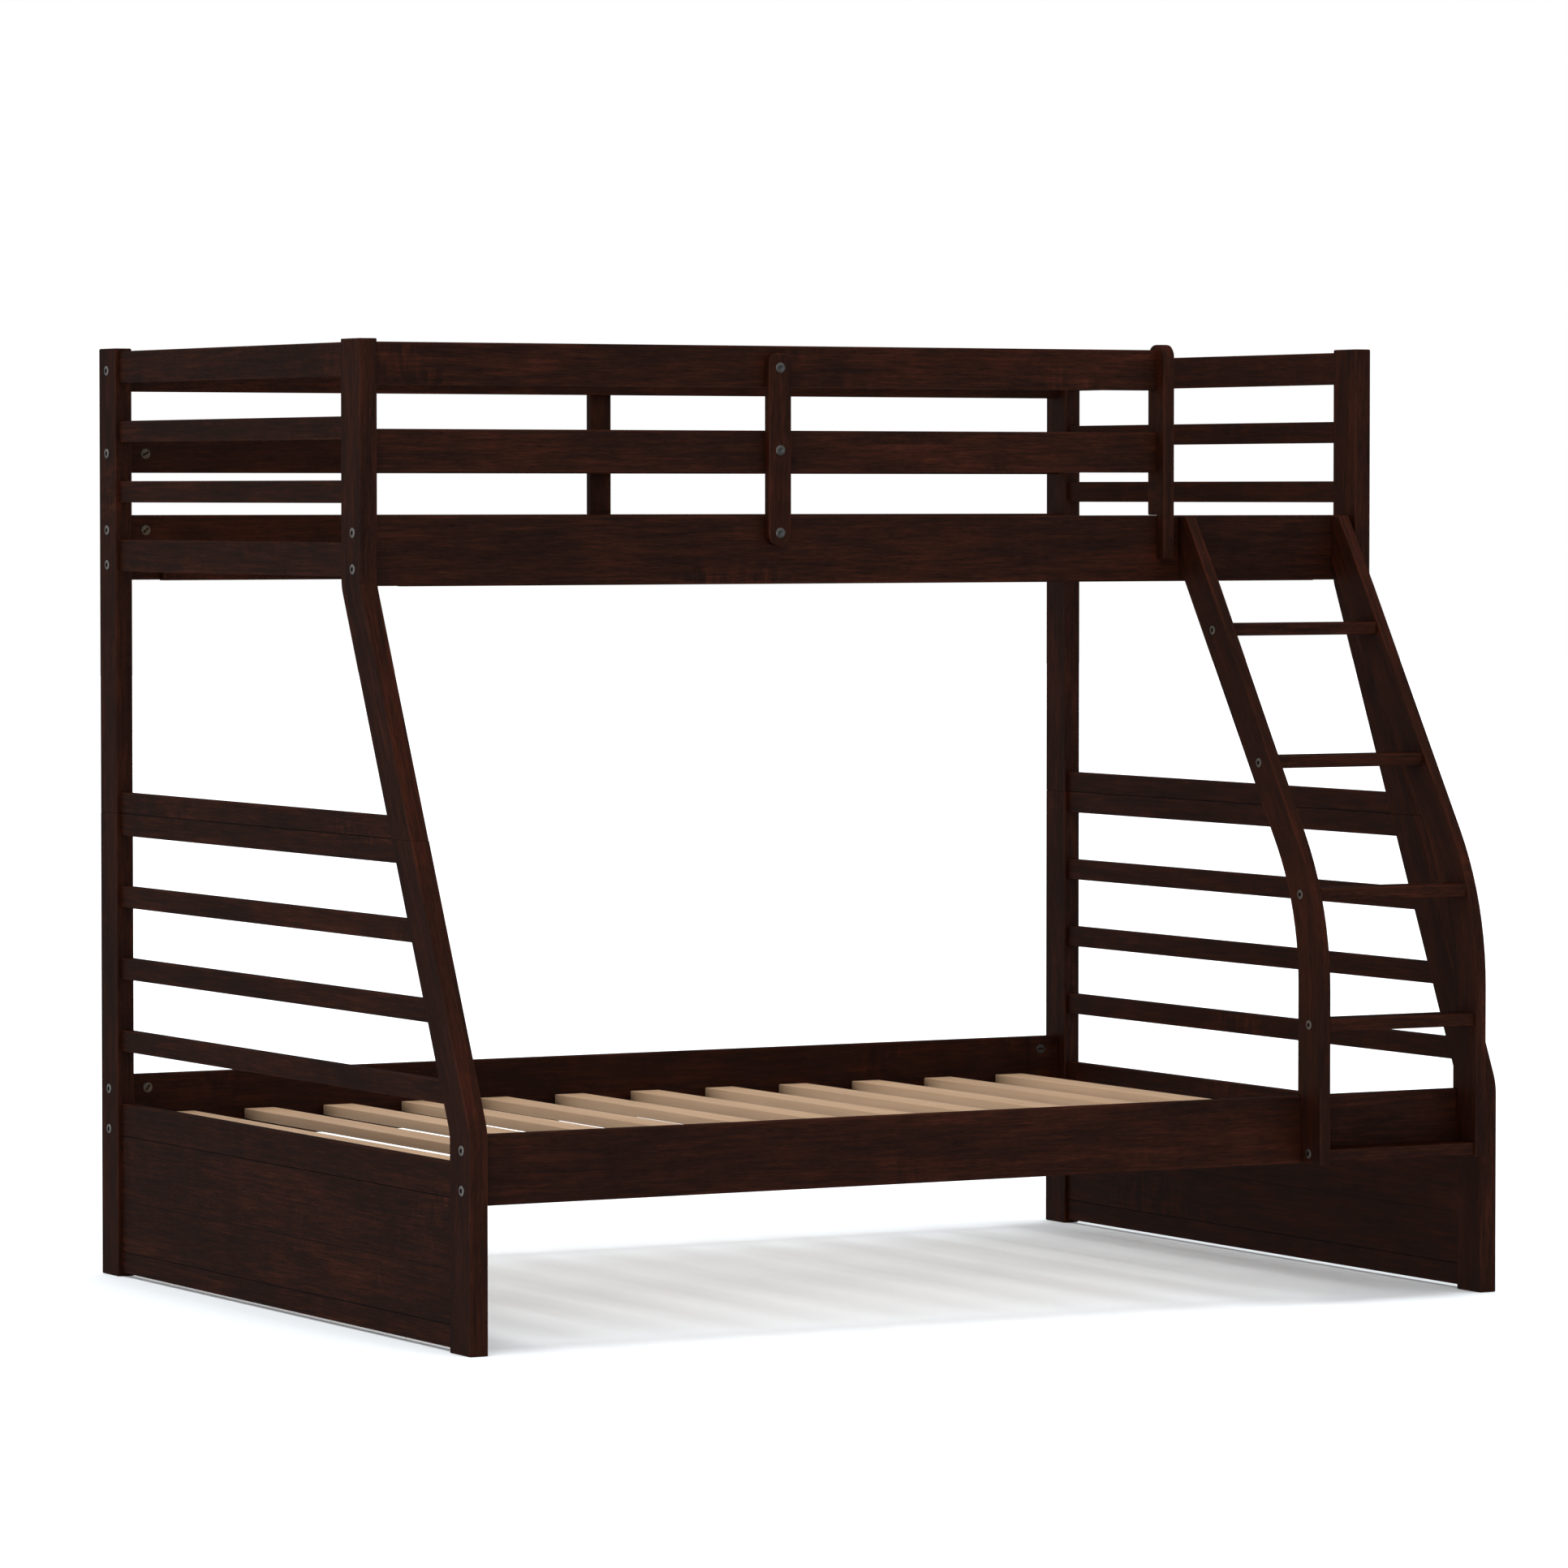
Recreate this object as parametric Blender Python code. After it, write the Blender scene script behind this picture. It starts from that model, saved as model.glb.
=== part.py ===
"""Bunk bed with a fixed ladder: twin berth above a full berth, knock-down softwood build.

Two end frames (each a lower and an upper half, stacked on steel dowel pins) carry four long side
rails. The front posts lean outwards between the upper and the lower berth, so the lower berth is
wider than the upper one. Guard rails stand on the upper rails, the front pair stops at a guard end
board beside the ladder. The ladder's two curved stringers are bolted to the front rails and hold
five treads. Each berth has a roll of twelve slats lying on two cleats.

Frame: X along the bed (+X is the ladder end), Y across it (-Y is the open front with the ladder,
+Y the wall side), Z up. The origin is on the floor, at the middle of the overall footprint.
"""

import math

import bmesh
import bpy
from mathutils import Vector

# ---------------------------------------------------------------- driving dimensions (metres)
LENGTH = 2.000            # outer face to outer face of the end frames
DEPTH = 1.509             # rear face of the rear posts to the front of the ladder stringers
GAP = 0.0003              # clearance kept between touching pieces

POST_THICK = 0.0324       # post thickness along X
POST_WIDE = 0.0706        # rear post width along Y
POST_TOP = 1.6484         # top of all four posts
SEAM = 0.8245             # height where the upper end frame stands on the lower one

# front post outline, given as (distance in front of the rear face, height)
UPPER_BACK = (0.9925, 1.2365)     # inner kink, rear edge
UPPER_FRONT = (1.0645, 1.2410)    # upper kink, front edge
LOWER_BACK = (1.3940, 0.3560)     # lower kink, rear edge
LOWER_FRONT = (1.4663, 0.3645)    # foot kink, front edge
KINK_RADIUS = 0.060
FOOT_RADIUS = 0.085

PIN_D = 0.010             # steel dowel pin at each post seam
PIN_LONG = 0.060
PIN_BORE_D = 0.0108
PIN_BORE_DEEP = 0.031

END_IN = 0.0080           # end rails lie this far inside the post's outer face
END_THICK = 0.0168        # thickness of the end rails, slats and panels

# end frame members: name, bottom, top
UPPER_END = (
    ("top_rail", 1.5865, 1.6432),
    ("upper_slat_1", 1.4820, 1.5199),
    ("upper_slat_2", 1.3756, 1.4135),
    ("middle_rail", 1.2530, 1.3100),
    ("upper_seam_rail", SEAM + GAP / 2, 0.8616),
)
LOWER_END = (
    ("lower_seam_rail", 0.7848, SEAM - GAP / 2),
    ("lower_slat_1", 0.6573, 0.6954),
    ("lower_slat_2", 0.5298, 0.5678),
    ("lower_slat_3", 0.4010, 0.4391),
    ("lower_rail", 0.2510, 0.3082),
    ("foot_panel", 0.0437 + GAP, 0.2510 - GAP),
    ("foot_trim", 0.0062, 0.0437),
)

RAIL_THICK = 0.020        # side rails and guard rails
REAR_RAIL_Y = 0.0245      # rear rails: distance of their outer face from the rear face
UPPER_RAIL_Y = 1.0275     # upper front rails: inner face
LOWER_RAIL_Y = 1.4272     # lower front rail: inner face
UPPER_RAIL_Z = (1.2381, 1.3533)
LOWER_RAIL_Z = (0.2411, 0.3567)
GUARD_TOP_Z = (1.5723, 1.6433)
GUARD_MID_Z = (1.4281, 1.4989)

PICKET_Z = (1.3030, 1.6310)
PICKET_THICK = 0.0170
FRONT_PICKET_X = (-0.2266, -0.1829)
REAR_PICKET_X = (-0.0269, 0.0162)
PICKET_ROUND = 0.018

BOARD_X = (0.5605, 0.5832)        # guard end board beside the ladder
BOARD_Y = (1.0190, 1.0718)
BOARD_BOTTOM = 1.2766
BOARD_TOP = 1.6526
BOARD_ROUND = 0.022

STRINGER_THICK = 0.0215
LEFT_STRINGER_X = 0.6055
RIGHT_STRINGER_X = 0.9270
LADDER_TOP = 1.3525
LADDER_BOTTOM = 0.2415
# stringer outline: the rear edge and the front edge, from the top down
STRINGER_LIP = (1.0730, LADDER_TOP)           # front of the flat top
STRINGER_SHOULDER = (1.1544, 1.2318)          # front edge, end of the head
STRINGER_HEEL = (1.0478, 1.2700)              # rear edge leaves the upper rail here
FRONT_BEND = ((1.0090, 0.5360), 0.500)        # centre and radius of the front sweep
BACK_BEND = ((1.0078, 0.5500), 0.430)         # centre and radius of the rear sweep
FRONT_SWEEP = 32.8                            # degrees of the front sweep
BACK_SWEEP = 32.8
HOUSING = 0.0003                              # clearance of the notch over the lower rail

TREAD_THICK = 0.0215
TREADS = (                # height of the underside, rear edge, front edge
    (1.1431, 1.1250, 1.1950),
    (0.9162, 1.2710, 1.3410),
    (0.6928, 1.4075, 1.4775),
    (0.4697, 1.4400, 1.5027),
    (0.2455, 1.4476, 1.5035),
)

SLATS = 12
SLAT_WIDE = 0.059
SLAT_THICK = 0.018
SLAT_FIRST = -0.8985      # left edge of the first slat
SLAT_LAST = 0.8280        # left edge of the last slat
UPPER_SLAT_TOP = 1.2845
LOWER_SLAT_TOP = 0.2875
STRAP_WIDE = 0.014        # webbing that ties a roll of slats together, on top of the cleats
STRAP_THICK = 0.0012
STRAP_IN = 0.003          # from the slats' ends to the webbing
CLEAT_WIDE = 0.020
CLEAT_HIGH = 0.028
CLEAT_HALF = 0.904

# ---------------------------------------------------------------- finishes
FINISH = {
    "stain": ((0.026, 0.011, 0.0075), 0.42, 0.0),
    "pine": ((0.52, 0.35, 0.21), 0.62, 0.0),
    "steel": ((0.42, 0.42, 0.41), 0.35, 1.0),
}


def clear():
    for obj in list(bpy.data.objects):
        bpy.data.objects.remove(obj, do_unlink=True)


def finish(name, kind):
    colour, rough, metal = FINISH[kind]
    mat = bpy.data.materials.new(name + "_finish")
    mat.use_nodes = True
    shader = mat.node_tree.nodes["Principled BSDF"]
    shader.inputs["Base Color"].default_value = (*colour, 1.0)
    shader.inputs["Roughness"].default_value = rough
    shader.inputs["Metallic"].default_value = metal
    mat.diffuse_color = (*colour, 1.0)
    return mat


def depth(d):
    """Y of a point that lies d in front of the rear face of the rear posts."""
    return DEPTH / 2 - d


def place(name, bm, at, kind, parent):
    bmesh.ops.recalc_face_normals(bm, faces=bm.faces)
    mesh = bpy.data.meshes.new(name)
    bm.to_mesh(mesh)
    bm.free()
    obj = bpy.data.objects.new(name, mesh)
    bpy.context.collection.objects.link(obj)
    obj.location = at
    obj.parent = parent
    mesh.materials.append(finish(name, kind))
    return obj


def block(bm, lo, hi):
    size = [b - a for a, b in zip(lo, hi)]
    mid = [(a + b) / 2 for a, b in zip(lo, hi)]
    made = bmesh.ops.create_cube(bm, size=1.0)
    bmesh.ops.scale(bm, vec=size, verts=made["verts"])
    bmesh.ops.translate(bm, vec=mid, verts=made["verts"])


def board(name, x, y, z, kind, parent):
    """A plain board between two X, two Y and two Z planes; y holds distances from the rear face."""
    ys = sorted((depth(y[0]), depth(y[1])))
    mid = ((x[0] + x[1]) / 2, (ys[0] + ys[1]) / 2, (z[0] + z[1]) / 2)
    half = ((x[1] - x[0]) / 2, (ys[1] - ys[0]) / 2, (z[1] - z[0]) / 2)
    bm = bmesh.new()
    block(bm, [-h for h in half], half)
    return place(name, bm, mid, kind, parent)


def rounded(points, radii, steps=5):
    """The outline with an arc of the given radius at each corner that has one."""
    out = []
    count = len(points)
    for i, (point, radius) in enumerate(zip(points, radii)):
        here = Vector(point)
        if not radius:
            out.append(here)
            continue
        to_last = (Vector(points[i - 1]) - here).normalized()
        to_next = (Vector(points[(i + 1) % count]) - here).normalized()
        half = to_last.angle(to_next) / 2
        centre = here + (to_last + to_next).normalized() * radius / math.sin(half)
        begin = here + to_last * radius / math.tan(half) - centre
        end = here + to_next * radius / math.tan(half) - centre
        a0 = math.atan2(begin.y, begin.x)
        turn = math.atan2(end.y, end.x) - a0
        turn = (turn + math.pi) % (2 * math.pi) - math.pi
        for k in range(steps + 1):
            a = a0 + turn * k / steps
            out.append(centre + radius * Vector((math.cos(a), math.sin(a))))
    return out


def prism(name, outline, lo, hi, axis, kind, parent):
    """An outline extruded along X or Y. The outline holds (d, z) for X, and (x, z) for Y."""
    mid = (lo + hi) / 2
    thick = hi - lo
    ref_a = sum(p[0] for p in outline) / len(outline)
    ref_z = sum(p[1] for p in outline) / len(outline)
    bm = bmesh.new()
    if axis == "X":
        at = (mid, depth(ref_a), ref_z)
        verts = [bm.verts.new((-thick / 2, ref_a - p[0], p[1] - ref_z)) for p in outline]
        along = (thick, 0, 0)
    else:
        at = (ref_a, mid, ref_z)
        verts = [bm.verts.new((p[0] - ref_a, -thick / 2, p[1] - ref_z)) for p in outline]
        along = (0, thick, 0)
    face = bm.faces.new(verts)
    made = bmesh.ops.extrude_face_region(bm, geom=[face])
    moved = [g for g in made["geom"] if isinstance(g, bmesh.types.BMVert)]
    bmesh.ops.translate(bm, vec=along, verts=moved)
    return place(name, bm, at, kind, parent)


def rod(name, at, diameter, long, kind, parent, sides=24):
    bm = bmesh.new()
    bmesh.ops.create_cone(
        bm, cap_ends=True, segments=sides, radius1=diameter / 2, radius2=diameter / 2, depth=long
    )
    obj = place(name, bm, at, kind, parent)
    obj.data.shade_smooth()
    obj.data.set_sharp_from_angle(angle=math.radians(40))
    return obj


def bore(obj, name, at, diameter, long, parent):
    """A round hole, cut with a hidden cylinder."""
    cutter = rod(name, at, diameter, long, "steel", parent)
    cutter.hide_render = True
    cutter.display_type = "WIRE"
    cut = obj.modifiers.new("pin_bore", "BOOLEAN")
    cut.operation = "DIFFERENCE"
    cut.object = cutter
    cut.solver = "EXACT"


def lean(back, z):
    """Distance from the rear face of the leaning post's rear (or front) edge at height z."""
    hi, lo = (UPPER_BACK, LOWER_BACK) if back else (UPPER_FRONT, LOWER_FRONT)
    z = min(max(z, lo[1]), hi[1])
    return hi[0] + (lo[0] - hi[0]) * (hi[1] - z) / (hi[1] - lo[1])


def post_pair(side, x, parent):
    """The rear and the front post of one end frame, each in two halves with a pin between them."""
    mid_x = (x[0] + x[1]) / 2
    low, high = SEAM - GAP / 2, SEAM + GAP / 2
    rear_low = board(f"{side}_lower_rear_post", x, (0, POST_WIDE), (0, low), "stain", parent)
    rear_high = board(f"{side}_upper_rear_post", x, (0, POST_WIDE), (high, POST_TOP), "stain", parent)
    outline = rounded(
        [
            (LOWER_FRONT[0], 0), (LOWER_BACK[0], 0), LOWER_BACK,
            (lean(True, low), low), (lean(False, low), low), LOWER_FRONT,
        ],
        [0, 0, KINK_RADIUS, 0, 0, FOOT_RADIUS],
    )
    front_low = prism(f"{side}_lower_front_post", outline, *x, "X", "stain", parent)
    outline = rounded(
        [
            (lean(False, high), high), (lean(True, high), high), UPPER_BACK,
            (UPPER_BACK[0], POST_TOP), (UPPER_FRONT[0], POST_TOP), UPPER_FRONT,
        ],
        [0, 0, KINK_RADIUS, 0, 0, KINK_RADIUS],
    )
    front_high = prism(f"{side}_upper_front_post", outline, *x, "X", "stain", parent)
    front_pin_d = (lean(True, SEAM) + lean(False, SEAM)) / 2
    for where, d, lower, upper in (
        ("rear", POST_WIDE / 2, rear_low, rear_high),
        ("front", front_pin_d, front_low, front_high),
    ):
        at = (mid_x, depth(d), SEAM)
        rod(f"{side}_{where}_seam_pin", at, PIN_D, PIN_LONG, "steel", parent)
        for post, tag in ((lower, "low"), (upper, "high")):
            bore(post, f"cut_{side}_{where}_{tag}", at, PIN_BORE_D, 2 * PIN_BORE_DEEP, parent)


def end_member(name, x, z, parent):
    """A rail, slat or panel between the rear post and the (leaning) front post."""
    slack = GAP * 1.15
    stops = [z[0], z[1]]
    front = [(lean(True, h) - slack, h) for h in stops]
    outline = [(POST_WIDE + GAP, z[0]), front[0], front[1], (POST_WIDE + GAP, z[1])]
    return prism(name, outline, *x, "X", "stain", parent)


def end_frame(side, outer, parent):
    """One end of the bed; outer is the X of its outer face."""
    inward = -1 if outer > 0 else 1
    post_x = sorted((outer, outer + inward * POST_THICK))
    member_x = sorted((outer + inward * END_IN, outer + inward * (END_IN + END_THICK)))
    post_pair(side, post_x, parent)
    for tag, lo, hi in UPPER_END + LOWER_END:
        end_member(f"{side}_{tag}", member_x, (lo, hi), parent)


def long_rails(parent):
    """Side rails and guard rails between the end frames."""
    inner = LENGTH / 2 - POST_THICK - GAP
    full = (-inner, inner)
    to_board = (-inner, BOARD_X[0] - GAP)
    rear = (REAR_RAIL_Y, REAR_RAIL_Y + RAIL_THICK)
    upper = (UPPER_RAIL_Y, UPPER_RAIL_Y + RAIL_THICK)
    lower = (LOWER_RAIL_Y, LOWER_RAIL_Y + RAIL_THICK)
    for name, x, y, z in (
        ("rear_upper_side_rail", full, rear, UPPER_RAIL_Z),
        ("front_upper_side_rail", full, upper, UPPER_RAIL_Z),
        ("rear_lower_side_rail", full, rear, LOWER_RAIL_Z),
        ("front_lower_side_rail", full, lower, LOWER_RAIL_Z),
        ("rear_guard_rail_top", full, rear, GUARD_TOP_Z),
        ("rear_guard_rail_middle", full, rear, GUARD_MID_Z),
        ("front_guard_rail_top", to_board, upper, GUARD_TOP_Z),
        ("front_guard_rail_middle", to_board, upper, GUARD_MID_Z),
    ):
        board(name, x, y, z, "stain", parent)


def picket(name, x, outer_d, parent):
    """An upright that ties the side rail and both guard rails together, round at both ends."""
    outline = rounded(
        [(x[0], PICKET_Z[0]), (x[1], PICKET_Z[0]), (x[1], PICKET_Z[1]), (x[0], PICKET_Z[1])],
        [PICKET_ROUND] * 4,
    )
    y = sorted((depth(outer_d), depth(outer_d + PICKET_THICK)))
    prism(name, outline, *y, "Y", "stain", parent)


def guard_board(parent):
    """Upright that closes the front guard beside the ladder; it stands on the rail and laps it."""
    lap = UPPER_RAIL_Y + RAIL_THICK + GAP
    outline = rounded(
        [
            (BOARD_Y[1], BOARD_BOTTOM), (lap, BOARD_BOTTOM), (lap, UPPER_RAIL_Z[1] + GAP),
            (BOARD_Y[0], UPPER_RAIL_Z[1] + GAP), (BOARD_Y[0], BOARD_TOP), (BOARD_Y[1], BOARD_TOP),
        ],
        [0, 0, 0, 0, BOARD_ROUND, BOARD_ROUND],
    )
    prism("guard_end_board", outline, *BOARD_X, "X", "stain", parent)


def sweep(bend, degrees, steps=10):
    """Points of a stringer edge's arc, from its upper end down to where it runs straight down."""
    (cd, cz), radius = bend
    out = []
    for k in range(steps + 1):
        a = math.radians(degrees * (1 - k / steps))
        out.append((cd + radius * math.cos(a), cz + radius * math.sin(a)))
    return out


def stringer_outline():
    rail_front = LOWER_RAIL_Y + RAIL_THICK
    front = [STRINGER_LIP, STRINGER_SHOULDER] + sweep(FRONT_BEND, FRONT_SWEEP)
    front.append((front[-1][0], LADDER_BOTTOM))
    back = [(STRINGER_HEEL[0], LADDER_TOP), STRINGER_HEEL] + sweep(BACK_BEND, BACK_SWEEP)
    notch = LOWER_RAIL_Z[1] + HOUSING
    back += [
        (back[-1][0], notch),
        (rail_front + HOUSING, notch),
        (rail_front + HOUSING, LADDER_BOTTOM),
    ]
    return front + back[::-1]


def ladder(parent):
    outline = stringer_outline()
    left = (LEFT_STRINGER_X, LEFT_STRINGER_X + STRINGER_THICK)
    right = (RIGHT_STRINGER_X, RIGHT_STRINGER_X + STRINGER_THICK)
    prism("ladder_left_stringer", outline, *left, "X", "stain", parent)
    prism("ladder_right_stringer", outline, *right, "X", "stain", parent)
    between = (left[1] + GAP, right[0] - GAP)
    for i, (z, rear, front) in enumerate(TREADS, 1):
        board(f"ladder_tread_{i}", between, (rear, front), (z, z + TREAD_THICK), "stain", parent)


def slat_roll(name, top, rear, front, parent):
    """Twelve slats on webbing straps, joined into the one roll they are sold and laid as."""
    bottom = top - SLAT_THICK
    pitch = (SLAT_LAST - SLAT_FIRST) / (SLATS - 1)
    mid = (0, depth((rear + front) / 2), top)
    half = (front - rear) / 2
    bm = bmesh.new()
    for i in range(SLATS):
        x = SLAT_FIRST + i * pitch
        block(bm, (x, -half, bottom - top), (x + SLAT_WIDE, half, 0))
    slats = place(name, bm, mid, "pine", parent)
    bm = bmesh.new()
    for y in (-half + STRAP_IN + STRAP_WIDE / 2, half - STRAP_IN - STRAP_WIDE / 2):
        block(
            bm,
            (SLAT_FIRST + 0.006, y - STRAP_WIDE / 2, bottom - top - STRAP_THICK),
            (SLAT_LAST + SLAT_WIDE - 0.006, y + STRAP_WIDE / 2, bottom - top + 0.0006),
        )
    straps = place("cut_" + name + "_straps", bm, mid, "pine", parent)
    straps.hide_render = True
    straps.display_type = "WIRE"
    join = slats.modifiers.new("straps", "BOOLEAN")
    join.operation = "UNION"
    join.object = straps
    join.solver = "EXACT"


def berths(parent):
    rear_face = REAR_RAIL_Y + RAIL_THICK
    for level, top, rail_y in (("upper", UPPER_SLAT_TOP, UPPER_RAIL_Y), ("lower", LOWER_SLAT_TOP, LOWER_RAIL_Y)):
        slat_roll(f"{level}_slat_roll", top, rear_face + 0.002, rail_y - 0.002, parent)
        cleat_top = top - SLAT_THICK - STRAP_THICK - GAP
        z = (cleat_top - CLEAT_HIGH, cleat_top)
        x = (-CLEAT_HALF, CLEAT_HALF)
        board(f"rear_{level}_cleat", x, (rear_face + GAP, rear_face + GAP + CLEAT_WIDE), z, "stain", parent)
        board(f"front_{level}_cleat", x, (rail_y - GAP - CLEAT_WIDE, rail_y - GAP), z, "stain", parent)


def main():
    clear()
    bed = bpy.data.objects.new("bunk_bed", None)
    bpy.context.collection.objects.link(bed)
    end_frame("left", -LENGTH / 2, bed)
    end_frame("right", LENGTH / 2, bed)
    long_rails(bed)
    picket("front_guard_picket", FRONT_PICKET_X, UPPER_RAIL_Y + RAIL_THICK + GAP, bed)
    picket("rear_guard_picket", REAR_PICKET_X, REAR_RAIL_Y - GAP - PICKET_THICK, bed)
    guard_board(bed)
    ladder(bed)
    berths(bed)


main()
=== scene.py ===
"""Looks for the bunk bed: dark stained wood, pale slats, dull steel fasteners, plain studio."""

import math
import zlib

import bmesh
import bpy
from mathutils import Matrix, Vector


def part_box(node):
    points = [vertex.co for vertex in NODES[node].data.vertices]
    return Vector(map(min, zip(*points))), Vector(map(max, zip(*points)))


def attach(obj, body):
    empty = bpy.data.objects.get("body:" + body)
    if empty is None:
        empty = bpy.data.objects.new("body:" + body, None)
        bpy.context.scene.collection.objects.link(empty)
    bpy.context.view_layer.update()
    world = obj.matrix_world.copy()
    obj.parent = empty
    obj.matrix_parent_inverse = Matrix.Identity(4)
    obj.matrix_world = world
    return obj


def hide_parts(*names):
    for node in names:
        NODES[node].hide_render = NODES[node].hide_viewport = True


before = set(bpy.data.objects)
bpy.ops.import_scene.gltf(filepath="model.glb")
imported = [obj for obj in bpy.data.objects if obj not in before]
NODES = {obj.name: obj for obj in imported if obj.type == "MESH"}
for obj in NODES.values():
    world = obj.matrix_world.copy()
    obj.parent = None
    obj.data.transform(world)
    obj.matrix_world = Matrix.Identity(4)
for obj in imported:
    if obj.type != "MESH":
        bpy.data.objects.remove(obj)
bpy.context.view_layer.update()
scene = bpy.context.scene

DEPTH = 1.509                      # overall depth, from the CAD
LEAN = 0.4557                      # how far the front posts lean out per metre down
LEAN_LOW, LEAN_HIGH = 0.3600, 1.2388


# ---------------------------------------------------------------- shader helpers
class Tree:
    """Small helper for wiring a material's nodes."""

    def __init__(self, name):
        self.mat = bpy.data.materials.new(name)
        self.mat.use_nodes = True
        self.nt = self.mat.node_tree
        self.nt.nodes.clear()
        self.out = self.nt.nodes.new("ShaderNodeOutputMaterial")
        self.shader = self.nt.nodes.new("ShaderNodeBsdfPrincipled")
        self.nt.links.new(self.shader.outputs["BSDF"], self.out.inputs["Surface"])

    def put(self, socket, value):
        if isinstance(value, bpy.types.NodeSocket):
            self.nt.links.new(value, socket)
        else:
            socket.default_value = value

    def math(self, op, *args, clamp=False):
        n = self.nt.nodes.new("ShaderNodeMath")
        n.operation = op
        n.use_clamp = clamp
        for i, a in enumerate(args):
            self.put(n.inputs[i], a)
        return n.outputs[0]

    def vec(self, op, a, b):
        n = self.nt.nodes.new("ShaderNodeVectorMath")
        n.operation = op
        self.put(n.inputs[0], a)
        self.put(n.inputs[1], b)
        return n.outputs[0]

    def object_xyz(self):
        co = self.nt.nodes.new("ShaderNodeTexCoord").outputs["Object"]
        n = self.nt.nodes.new("ShaderNodeSeparateXYZ")
        self.nt.links.new(co, n.inputs[0])
        return n.outputs[0], n.outputs[1], n.outputs[2]

    def combine(self, x, y, z):
        n = self.nt.nodes.new("ShaderNodeCombineXYZ")
        for i, v in enumerate((x, y, z)):
            self.put(n.inputs[i], v)
        return n.outputs[0]

    def noise(self, at, scale, detail=2.0, rough=0.5, distort=0.0):
        n = self.nt.nodes.new("ShaderNodeTexNoise")
        n.inputs["Scale"].default_value = 1.0
        n.inputs["Detail"].default_value = detail
        n.inputs["Roughness"].default_value = rough
        n.inputs["Distortion"].default_value = distort
        self.put(n.inputs["Vector"], self.vec("MULTIPLY", at, scale))
        return n.outputs["Fac"]

    def ramp(self, fac, stops):
        n = self.nt.nodes.new("ShaderNodeValToRGB")
        self.put(n.inputs[0], fac)
        e = n.color_ramp.elements
        while len(e) > 1:
            e.remove(e[-1])
        e[0].position, e[0].color = stops[0][0], (*stops[0][1], 1)
        for p, c in stops[1:]:
            x = e.new(p)
            x.color = (*c, 1)
        return n.outputs[0]

    def span(self, value, a, b, lo=0.0, hi=1.0, smooth=True):
        n = self.nt.nodes.new("ShaderNodeMapRange")
        n.interpolation_type = "SMOOTHSTEP" if smooth else "LINEAR"
        for i, v in enumerate((value, a, b, lo, hi)):
            self.put(n.inputs[i], v)
        return n.outputs[0]

    def mix(self, fac, a, b, mode="MIX"):
        n = self.nt.nodes.new("ShaderNodeMix")
        n.data_type = "RGBA"
        n.blend_type = mode
        self.put(n.inputs[0], fac)
        for socket, v in ((n.inputs[6], a), (n.inputs[7], b)):
            self.put(socket, (*v, 1) if isinstance(v, tuple) and len(v) == 3 else v)
        return n.outputs[2]

    def bump(self, height, strength, distance, normal=None):
        n = self.nt.nodes.new("ShaderNodeBump")
        n.inputs["Strength"].default_value = strength
        n.inputs["Distance"].default_value = distance
        self.put(n.inputs["Height"], height)
        if normal is not None:
            self.put(n.inputs["Normal"], normal)
        return n.outputs[0]


def seeded(name):
    """Three steady offsets between 0 and 40 that belong to a name."""
    h = zlib.crc32(name.encode())
    return tuple(((h >> s) & 1023) / 1023 * 40 for s in (0, 10, 20))


# ---------------------------------------------------------------- wood
DARK = (0.0130, 0.0040, 0.0023)
MID = (0.0200, 0.0048, 0.0018)
WARM = (0.0310, 0.0062, 0.0019)
# The palest tone: the top of the grain ramp, and also the colour laid along arrises, which is partly stain rubbed thin
# and partly a painted highlight.
PALE_TONE = (0.0470, 0.0106, 0.0040)


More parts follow.
